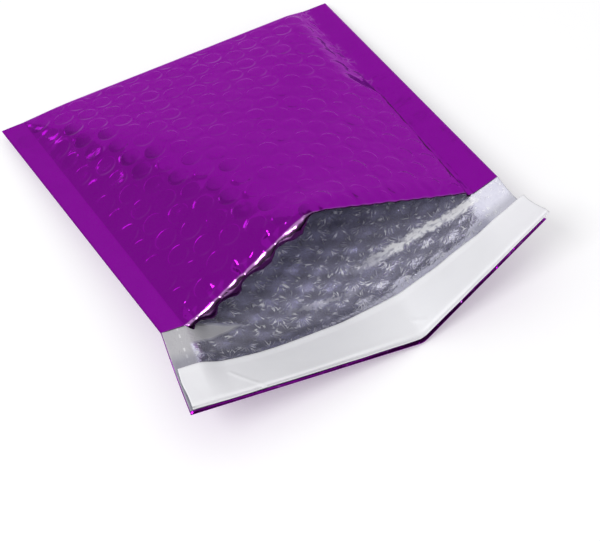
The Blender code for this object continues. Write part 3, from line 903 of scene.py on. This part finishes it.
def bubble_middle(wires, place):
    """The place measured from the nearest bubble's middle, and its distance from there in radii."""
    cell = (MAP_SCALE * 4 * STEP_ACROSS, MAP_SCALE * BUBBLE_PITCH, 1.0)
    high = tuple(side / 2 for side in cell)
    low = tuple(-side / 2 for side in cell)
    found = []
    for column, turn in ((1, 0.25), (3, 0.75)):
        middle = (MAP_LEFT + MAP_SCALE * column * STEP_ACROSS, MAP_SCALE * BUBBLE_PITCH * turn, 0.0)
        offset = wires.vector("WRAP", wires.vector("SUBTRACT", place, middle), high, low)
        found.append((offset, wires.vector("LENGTH", offset)))
    (first, first_far), (second, second_far) = found
    choose = wires.add("Mix")
    choose.data_type = "VECTOR"
    wires.fill(choose, {0: wires.math("LESS_THAN", first_far, second_far), 4: second, 5: first})
    far = wires.math("DIVIDE", wires.math("MINIMUM", first_far, second_far), MAP_BUBBLE)
    return choose.outputs[1], far


def padded_width(wires, place):
    """One over the padded width of the sheet and nought on its welded sides."""
    across, _, _ = wires.parts(place)
    left = wires.ramp(across, MAP_LEFT + 0.02, MAP_LEFT + 0.08)
    right = wires.ramp(across, MAP_RIGHT - 0.07, MAP_RIGHT - 0.02, 1.0, 0.0)
    return wires.times(left, right)


def bubble_discs(wires, place):
    """One on each bubble's disc and nought between them, uneven from disc to disc."""
    _, far = bubble_middle(wires, place)
    disc = wires.ramp(far, 0.74, 0.81, 1.0, 0.0)
    uneven = wires.ramp(wires.noise(place, 10.0, 1.0), 0.40, 0.62, 0.10, 1.0)
    return wires.times(disc, padded_width(wires, place), uneven)


def star_crease_highlights(wires, place):
    """Painted highlights on thin creases that run out from each bubble's middle: how bright they are, nought
    beside.
    """
    offset, far = bubble_middle(wires, place)
    way = wires.vector("MULTIPLY", wires.vector("NORMALIZE", offset), (0.8, 0.8, 0.8))
    wander = wires.vector("MULTIPLY", place, (6.0, 6.0, 6.0))
    rays = wires.noise(wires.vector("ADD", way, wander), 2.0, 1.0)
    thin = wires.ramp(wires.apart(rays, 0.5), 0.008, 0.050, 0.85, 0.0)
    from_middle = wires.ramp(far, 0.20, 0.45)
    to_rim = wires.ramp(far, 0.85, 1.15, 1.0, 0.0)
    patch = wires.ramp(wires.noise(place, 21.0, 1.0), 0.45, 0.60)
    return wires.times(thin, from_middle, to_rim, patch)


def painted_highlight_marks(wires, place):
    """Painted highlights: paler arcs on the bubbles' rims on the mouth's side, and on crinkles by the right
    seam.
    """
    offset, far = bubble_middle(wires, place)
    across, along, _ = wires.parts(place)
    _, toward_fold, _ = wires.parts(offset)
    rise = wires.ramp(far, 0.72, 0.79)
    fall = wires.ramp(far, 0.80, 0.92, 1.0, 0.0)
    side = wires.ramp(toward_fold, -0.15 * MAP_BUBBLE, -0.65 * MAP_BUBBLE)
    uneven = wires.ramp(wires.noise(place, 8.0, 2.0), 0.42, 0.62, 0.0, 0.8)
    at_fold = wires.ramp(along, -0.9, -0.1, 0.15, 1.0)
    # Painted highlight arcs, on one side of each bubble's rim only
    rim = wires.times(rise, fall, side, uneven, at_fold, padded_width(wires, place))
    # Painted highlights on the crinkles beside the right seam
    inward = wires.ramp(across, MAP_RIGHT - 0.08, MAP_RIGHT - 0.03)
    outward = wires.ramp(across, MAP_RIGHT + 0.01, MAP_RIGHT + 0.03, 1.0, 0.0)
    before = wires.ramp(along, MAP_CREASE - 0.1, MAP_CREASE + 0.05, 0.0, 0.75)
    patch = wires.ramp(wires.noise(place, 12.0, 1.0), 0.40, 0.60)
    seam_crinkle_highlights = wires.times(wires.crinkles(place, 26.0, 0.10), patch, inward, outward, before)
    return wires.most(rim, seam_crinkle_highlights)


def painted_ridge_shade(wires, place):
    """Painted shade on bubbles along the left ridge, darker on one side: how dark, up to about one half."""
    offset, far = bubble_middle(wires, place)
    across, along, _ = wires.parts(place)
    sideways, _, _ = wires.parts(offset)
    line = wires.ramp(along, MAP_MOUTH, 0.0, MAP_PEAK, MAP_LEFT)
    ridge = wires.ramp(wires.apart(across, line), 0.05, 0.17, 1.0, 0.0)
    own = wires.noise(wires.vector("SUBTRACT", place, offset), 40.0, 2.0)
    chosen = wires.ramp(own, 0.46, 0.56, 0.0, 0.55)
    side = wires.ramp(sideways, -0.5 * MAP_BUBBLE, 0.3 * MAP_BUBBLE, 1.0, 0.2)
    disc = wires.ramp(far, 0.80, 0.88, 1.0, 0.0)
    front = wires.ramp(along, -0.12, -0.06, 1.0, 0.0)
    return wires.times(disc, side, chosen, ridge, front)


def crease_painted_shade(wires, place):
    """Painted shade in the gap under the crease beside the right seam: how dark it is, nought elsewhere."""
    across, along, _ = wires.parts(place)
    at_crease = MAP_RIGHT - MAP_SCALE * CREASE_STEP - 0.004
    at_mouth = at_crease - MAP_SCALE * CREASE_SPREAD
    line = wires.ramp(along, MAP_MOUTH, MAP_CREASE, at_mouth, at_crease)
    wobble = wires.ramp(wires.noise(place, 9.0, 2.0), 0.3, 0.7, -0.008, 0.008)
    off = wires.math("ADD", wires.math("SUBTRACT", across, line), wobble)
    near = wires.ramp(off, -0.004, -0.001)
    far = wires.ramp(off, 0.008, 0.011, 1.0, 0.0)
    shown = wires.ramp(along, MAP_CREASE - 0.06, MAP_CREASE, 0.9, 0.0)
    front = wires.ramp(along, MAP_MOUTH - 0.005, MAP_MOUTH)
    return wires.times(near, far, shown, front)


def film_material():
    """Purple metallised film: mirror-like, crisp round the bubbles, crushed at the rolled edge, with painted
    highlights and painted shade laid over its colour.
    """
    material, wires, shader = new_material("purple_film_detail", (0.22, 0.001, 0.29), 1.0, 0.08)
    wires.fill(shader, {"Specular Tint": (0.85, 0.50, 0.90, 1.0), "Coat Roughness": 0.14})
    place = wires.sheet_place()
    across, along, _ = wires.parts(place)
    # Painted highlight: the top of the roll left of the peak is tinted pale where the key lamp's highlight
    # falls, to whiten it
    painted_highlight_band = wires.ramp(along, MAP_MOUTH - 0.002, MAP_MOUTH + 0.002, 1.0, 0.0)
    left_half = wires.ramp(across, MAP_PEAK, MAP_PEAK + 0.08, 1.0, 0.0)
    # Painted shade: the roll's underside, beyond its highlight, is coloured near black
    under = wires.ramp(along, MAP_MOUTH - 0.034, MAP_MOUTH - 0.022, 1.0, 0.0)
    purple = wires.mix(wires.noise(place, 9.0, 3.0), (0.207, 0.001, 0.280), (0.230, 0.002, 0.310))
    # Laid over the purple: painted highlights on rims and crinkles, painted shade on the ridge and in the
    # right crease, a painted highlight on the roll and painted shade under it
    colour = wires.layers(purple, (painted_highlight_marks(wires, place), (0.36, 0.11, 0.44)),
                          (painted_ridge_shade(wires, place), (0.085, 0.001, 0.125)),
                          (crease_painted_shade(wires, place), (0.02, 0.001, 0.025)),
                          (wires.times(painted_highlight_band, left_half), (0.46, 0.19, 0.52)),
                          (under, (0.040, 0.001, 0.055)))
    rolled = wires.ramp(along, MAP_MOUTH - 0.002, MAP_MOUTH + 0.004, 1.0, 0.09)
    coat = wires.times(rolled, wires.ramp(under, 0.0, 1.0, 1.0, 0.15))
    haze = wires.ramp(wires.noise(place, 22.0, 4.0), 0.3, 0.7, 0.06, 0.11)
    crushed = wires.ramp(along, MAP_MOUTH - 0.002, MAP_MOUTH + 0.010, 0.20, 0.0)
    broad = wires.bump(wires.noise(place, 7.0, 2.0), 0.0012, 0.5)
    lines = wires.bump(wires.noise(place, 30.0, 3.0, (0.5, 1.6, 1)), 0.00012, 0.5, broad)
    discs = wires.bump(bubble_discs(wires, place), 0.00010, 1.0, lines)
    wires.fill(shader, {"Base Color": colour, "Coat Weight": coat, "Normal": discs,
                        "Roughness": wires.most(haze, crushed)})
    return material


def flat_lining(wires, place):
    """One where the lining is pressed flat: its left weld and the tongue that runs in from there."""
    across, along, _ = wires.parts(place)
    left = wires.ramp(across, MAP_LEFT + 0.005, MAP_LEFT - 0.005)
    wide = wires.ramp(across, MAP_LEFT, MAP_SCALE * TONGUE_END, MAP_SCALE * TONGUE_HALF, 0.0)
    off = wires.apart(along, MAP_SCALE * (BODY_LENGTH + TONGUE_MIDDLE))
    pressed = wires.ramp(wires.math("SUBTRACT", wide, off), 0.0, 0.02)
    return wires.most(left, pressed)


def streak(wires, place, start, end, bend, reach, fades_out):
    """A painted highlight band over the sheet from a start to an end, level up to its bend, with a ragged
    edge.
    """
    across, along, _ = wires.parts(place)
    start = tuple(MAP_SCALE * part for part in start)
    end = tuple(MAP_SCALE * part for part in end)
    line = wires.ramp(across, MAP_SCALE * bend, end[0], start[1], end[1])
    wander = wires.ramp(wires.noise(place, 9.0, 3.0), 0.3, 0.7, -0.014, 0.014)
    ragged = wires.ramp(wires.noise(place, 45.0, 3.0), 0.3, 0.7, -0.016, 0.016)
    off = wires.math("ADD", wires.apart(along, line), wires.math("ADD", wander, ragged))
    near = wires.ramp(off, MAP_SCALE * 0.3 * reach, MAP_SCALE * 0.7 * reach, 1.0, 0.0)
    creased = wires.ramp(wires.noise(place, 24.0, 4.0, (1.0, 1.8, 1.0)), 0.36, 0.50, 0.45, 1.0)
    first = wires.ramp(across, start[0], start[0] + MAP_SCALE * fades_out[0])
    last = wires.ramp(across, end[0] - MAP_SCALE * fades_out[1], end[0], 1.0, 0.0)
    return wires.times(near, creased, first, last)


def painted_lining_highlights(wires, place):
    """How strong the painted highlight on the lining is: one on its taut bend at the mouth, less on a
    fainter streak and on its right weld, else nought."""
    across, _, _ = wires.parts(place)
    bend = streak(wires, place, (CREST_FROM, CREST_LINE), (CREST_TO, CREST_LINE + CREST_SWING),
                  CREST_SWING_FROM, CREST_REACH, CREST_FADES)
    faint = streak(wires, place, FAINT_START, FAINT_END, FAINT_START[0], FAINT_REACH, FAINT_FADES)
    weld = wires.ramp(across, MAP_RIGHT - 0.04, MAP_RIGHT + 0.02, 0.0, 0.20)
    return wires.most(bend, wires.times(faint, FAINT_LEVEL), weld)


def weld_dashes(wires, place):
    """The dashed weld along the lining's left side: how bright a dash is, nought elsewhere."""
    across, along, _ = wires.parts(place)
    beside = wires.ramp(wires.apart(across, MAP_SCALE * WELD_LINE), 0.002, 0.006, 1.0, 0.0)
    dash = wires.ramp(wires.math("PINGPONG", along, 0.02), 0.008, 0.011, 0.0, 0.6)
    worn = wires.ramp(wires.noise(place, 25.0, 2.0), 0.40, 0.58, 0.1, 1.0)
    return wires.times(dash, worn, beside)


def lining_material():
    """Silver bubble film: bluish silver; its star-like creases and taut bend carry painted highlights."""
    material, wires, shader = new_material("silver_lining_detail", (0.62, 0.61, 0.72), 0.75, 0.20)
    place = wires.sheet_place()
    _, along, _ = wires.parts(place)
    star_highlights = star_crease_highlights(wires, place)
    pressed = flat_lining(wires, place)
    # taut: how strong the painted highlight is on the taut bend, the faint streak and the right weld
    taut = painted_lining_highlights(wires, place)
    padding_end = MAP_SCALE * (BODY_LENGTH + BUBBLES_END)
    by_strip = wires.ramp(along, padding_end - 0.07, padding_end - 0.01, 0.0, 0.62)
    silver = wires.mix(wires.noise(place, 14.0, 4.0), (0.62, 0.61, 0.77), (0.76, 0.75, 0.88))
    # Painted highlights on the star creases and the taut bend are laid over the silver as near-white
    colour = wires.layers(silver, (star_highlights, (0.95, 0.95, 0.98)), (pressed, (0.49, 0.485, 0.51)),
                          (weld_dashes(wires, place), (0.93, 0.93, 0.95)),
                          (by_strip, (0.20, 0.20, 0.27)), (taut, (0.98, 0.98, 1.0)))
    # Less metallic where the lining is pressed flat and where painted highlights lie, so these show pale
    # under any light
    pressed_or_painted_highlight = wires.most(pressed, star_highlights, taut)
    haze = wires.ramp(wires.noise(place, 40.0, 4.0), 0.3, 0.7, 0.13, 0.24)
    loose = wires.ramp(taut, 0.0, 1.0, 1.0, 0.65)
    folds = wires.bump(wires.times(wires.noise(place, 26.0, 4.0), loose), 0.0004, 0.5)
    cells = wires.bump(wires.times(wires.crinkles(place, 34.0, 0.16), loose), 0.00010, 0.5, folds)
    rays = wires.bump(wires.times(star_highlights, loose), 0.00008, 1.0, cells)
    wires.fill(shader, {"Base Color": colour, "Metallic": wires.ramp(pressed_or_painted_highlight, 0.0, 1.0, 0.75, 0.10),
                        "Roughness": wires.most(haze, wires.times(pressed, 0.35)),
                        "Coat Weight": wires.ramp(taut, 0.0, 1.0, 0.3, 1.0), "Coat Roughness": 0.10,
                        "Normal": rays})
    return material


def paper_material():
    """White coated paper: smooth, with a slight grain and faint handling marks."""
    material, wires, shader = new_material("white_release_paper_detail", (0.80, 0.80, 0.84), 0.0, 0.42)
    place = wires.sheet_place()
    colour = wires.mix(wires.noise(place, 5.0, 3.0), (0.850, 0.850, 0.885), (0.885, 0.885, 0.915))
    haze = wires.ramp(wires.noise(place, 60.0, 3.0), 0.3, 0.7, 0.36, 0.50)
    waves = wires.bump(wires.noise(place, 6.0, 2.0), 0.0010, 0.4)
    grain = wires.bump(wires.noise(place, 220.0, 3.0), 0.00003, 0.4, waves)
    wires.fill(shader, {"Base Color": colour, "Roughness": haze, "Normal": grain})
    return material


def glue_material():
    """Clear glue: pale, glossy, with a slightly uneven coat."""
    material, wires, shader = new_material("clear_glue_detail", (0.78, 0.75, 0.62), 0.0, 0.25)
    spread = wires.noise(wires.add("TexCoord").outputs["Object"], 60.0, 3.0, (0.3, 2.0, 1.0))
    colour = wires.mix(spread, (0.74, 0.71, 0.58), (0.82, 0.79, 0.68))
    wires.fill(shader, {"Base Color": colour, "Roughness": wires.ramp(spread, 0.3, 0.7, 0.15, 0.32),
                        "Normal": wires.bump(spread, 0.0002, 0.5)})
    return material


def shown_ray(wires):
    """One for rays that see the background directly, in a mirror or through glass."""
    path = wires.add("LightPath").outputs
    return wires.most(path["Is Camera Ray"], path["Is Glossy Ray"], path["Is Transmission Ray"])


def either(wires, share, first, second, output):
    """Send one of two shaders to a tree's output, by a share."""
    choose = wires.add("MixShader", {0: share, 1: first.outputs[0], 2: second.outputs[0]})
    wires.join(choose.outputs[0], wires.tree.nodes[output].inputs["Surface"])


def make_floor():
    """Pale floor that holds the shadow and shows as white."""
    mesh = bpy.data.meshes.new("floor")
    corners = [(-FLOOR_HALF, -FLOOR_HALF, 0.0), (FLOOR_HALF, -FLOOR_HALF, 0.0),
               (FLOOR_HALF, FLOOR_HALF, 0.0), (-FLOOR_HALF, FLOOR_HALF, 0.0)]
    mesh.from_pydata(corners, [], [(0, 1, 2, 3)])
    floor = bpy.data.objects.new("floor", mesh)
    bpy.context.scene.collection.objects.link(floor)
    material, wires, shader = new_material("pale_floor", (0.80, 0.80, 0.80), 0.0, 0.9)
    shown = wires.add("BsdfDiffuse", {"Color": (0.78, 0.78, 0.79, 1.0)})
    glow = wires.add("Emission", {"Strength": FLOOR_GLOW})
    both = wires.add("AddShader", {0: shown.outputs[0], 1: glow.outputs[0]})
    either(wires, shown_ray(wires), shader, both, "Material Output")
    mesh.materials.append(material)


def make_world():
    """White surroundings, dull in front and overhead, with a grey card up and to the left."""
    world = bpy.data.worlds.new("studio")
    bpy.context.scene.world = world
    world.use_nodes = True
    wires = Wires(world.node_tree)
    even = world.node_tree.nodes["Background"]
    wires.fill(even, {"Color": (1.0, 1.0, 1.0, 1.0), "Strength": WORLD_LEVEL})
    sideways, forward, upward = wires.parts(wires.add("TexCoord").outputs["Generated"])
    card = wires.times(wires.ramp(sideways, *GREY_CARD_SIDE), wires.ramp(upward, *GREY_CARD_FOOT))
    front = wires.ramp(forward, *DULL_FRONT_EDGE, 1.0, 0.0)
    above = wires.times(wires.ramp(upward, *DULL_ABOVE_EDGE), wires.ramp(sideways, *DULL_ABOVE_SIDE),
                        wires.ramp(upward, *DULL_ABOVE_END, 1.0, 0.0))
    back = wires.math("MINIMUM", wires.ramp(card, 0.0, 1.0, 1.0, GREY_CARD_LEVEL),
                      wires.ramp(above, 0.0, 1.0, 1.0, DULL_ABOVE_LEVEL))
    shade = wires.math("MINIMUM", back, wires.ramp(front, 0.0, 1.0, 1.0, DULL_FRONT_LEVEL))
    white = wires.add("Background", {"Color": (1.0, 1.0, 1.0, 1.0), "Strength": shade})
    either(wires, shown_ray(wires), even, white, "World Output")


def place_facing(name, data, toward, distance, centre):
    """Put a lamp or a camera at a distance from a centre, in a direction, so that it faces the centre."""
    toward = np.array(toward) / np.linalg.norm(toward)
    thing = bpy.data.objects.new(name, data)
    thing.location = toward * distance + np.array(centre)
    thing.rotation_euler = (math.acos(toward[2]), 0.0, math.atan2(toward[0], -toward[1]))
    bpy.context.scene.collection.objects.link(thing)
    return thing


def make_lamp(name, toward, distance, size, power):
    """A square soft lamp that faces the envelope from a direction."""
    data = bpy.data.lights.new(name, "AREA")
    data.shape = "SQUARE"
    data.size = size
    data.energy = power
    place_facing(name, data, toward, distance, (0.0, 0.0, 0.0))


def make_camera():
    """Camera at the photograph's viewing angle."""
    data = bpy.data.cameras.new("camera")
    data.sensor_width = 36.0
    data.lens = FOCAL_PIXELS / PICTURE_WIDTH * data.sensor_width
    data.clip_start = 0.01
    data.clip_end = 100.0
    azimuth = math.radians(CAMERA_AZIMUTH)
    elevation = math.radians(CAMERA_ELEVATION)
    level = math.cos(elevation)
    toward = (math.sin(azimuth) * level, -math.cos(azimuth) * level, math.sin(elevation))
    bpy.context.scene.camera = place_facing("camera", data, toward, CAMERA_DISTANCE, CAMERA_TARGET)


def stand_in_frame(things):
    """Move the sheets from the body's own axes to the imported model's."""
    low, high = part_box("outer_film")
    corner = flap_edge(np.array([0.0]))[0]
    shift = np.array((low[0] - corner[0], high[1] - BODY_LENGTH / 2, 0.0))
    for thing in things:
        places = np.empty(len(thing.data.vertices) * 3)
        thing.data.vertices.foreach_get("co", places)
        thing.data.vertices.foreach_set("co", (places.reshape(-1, 3) + shift).ravel())
        thing.data.update()


def finish_piece(piece, node, material):
    """Give a piece its material, and put it in its node's place."""
    piece.data.materials.append(material)
    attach(piece, "root")
    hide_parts(node)


bpy.context.scene.view_settings.view_transform = "Standard"
make_camera()
make_world()
make_floor()
for lamp in LAMPS:
    make_lamp(*lamp)
film = make_film()
lining = make_lining()
strip = make_strip()
stand_in_frame([film, lining, strip])
finish_piece(film, "outer_film", film_material())
finish_piece(lining, "bubble_lining", lining_material())
finish_piece(strip, "release_strip", paper_material())
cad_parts["adhesive_strip"].material_slots[0].material = glue_material()
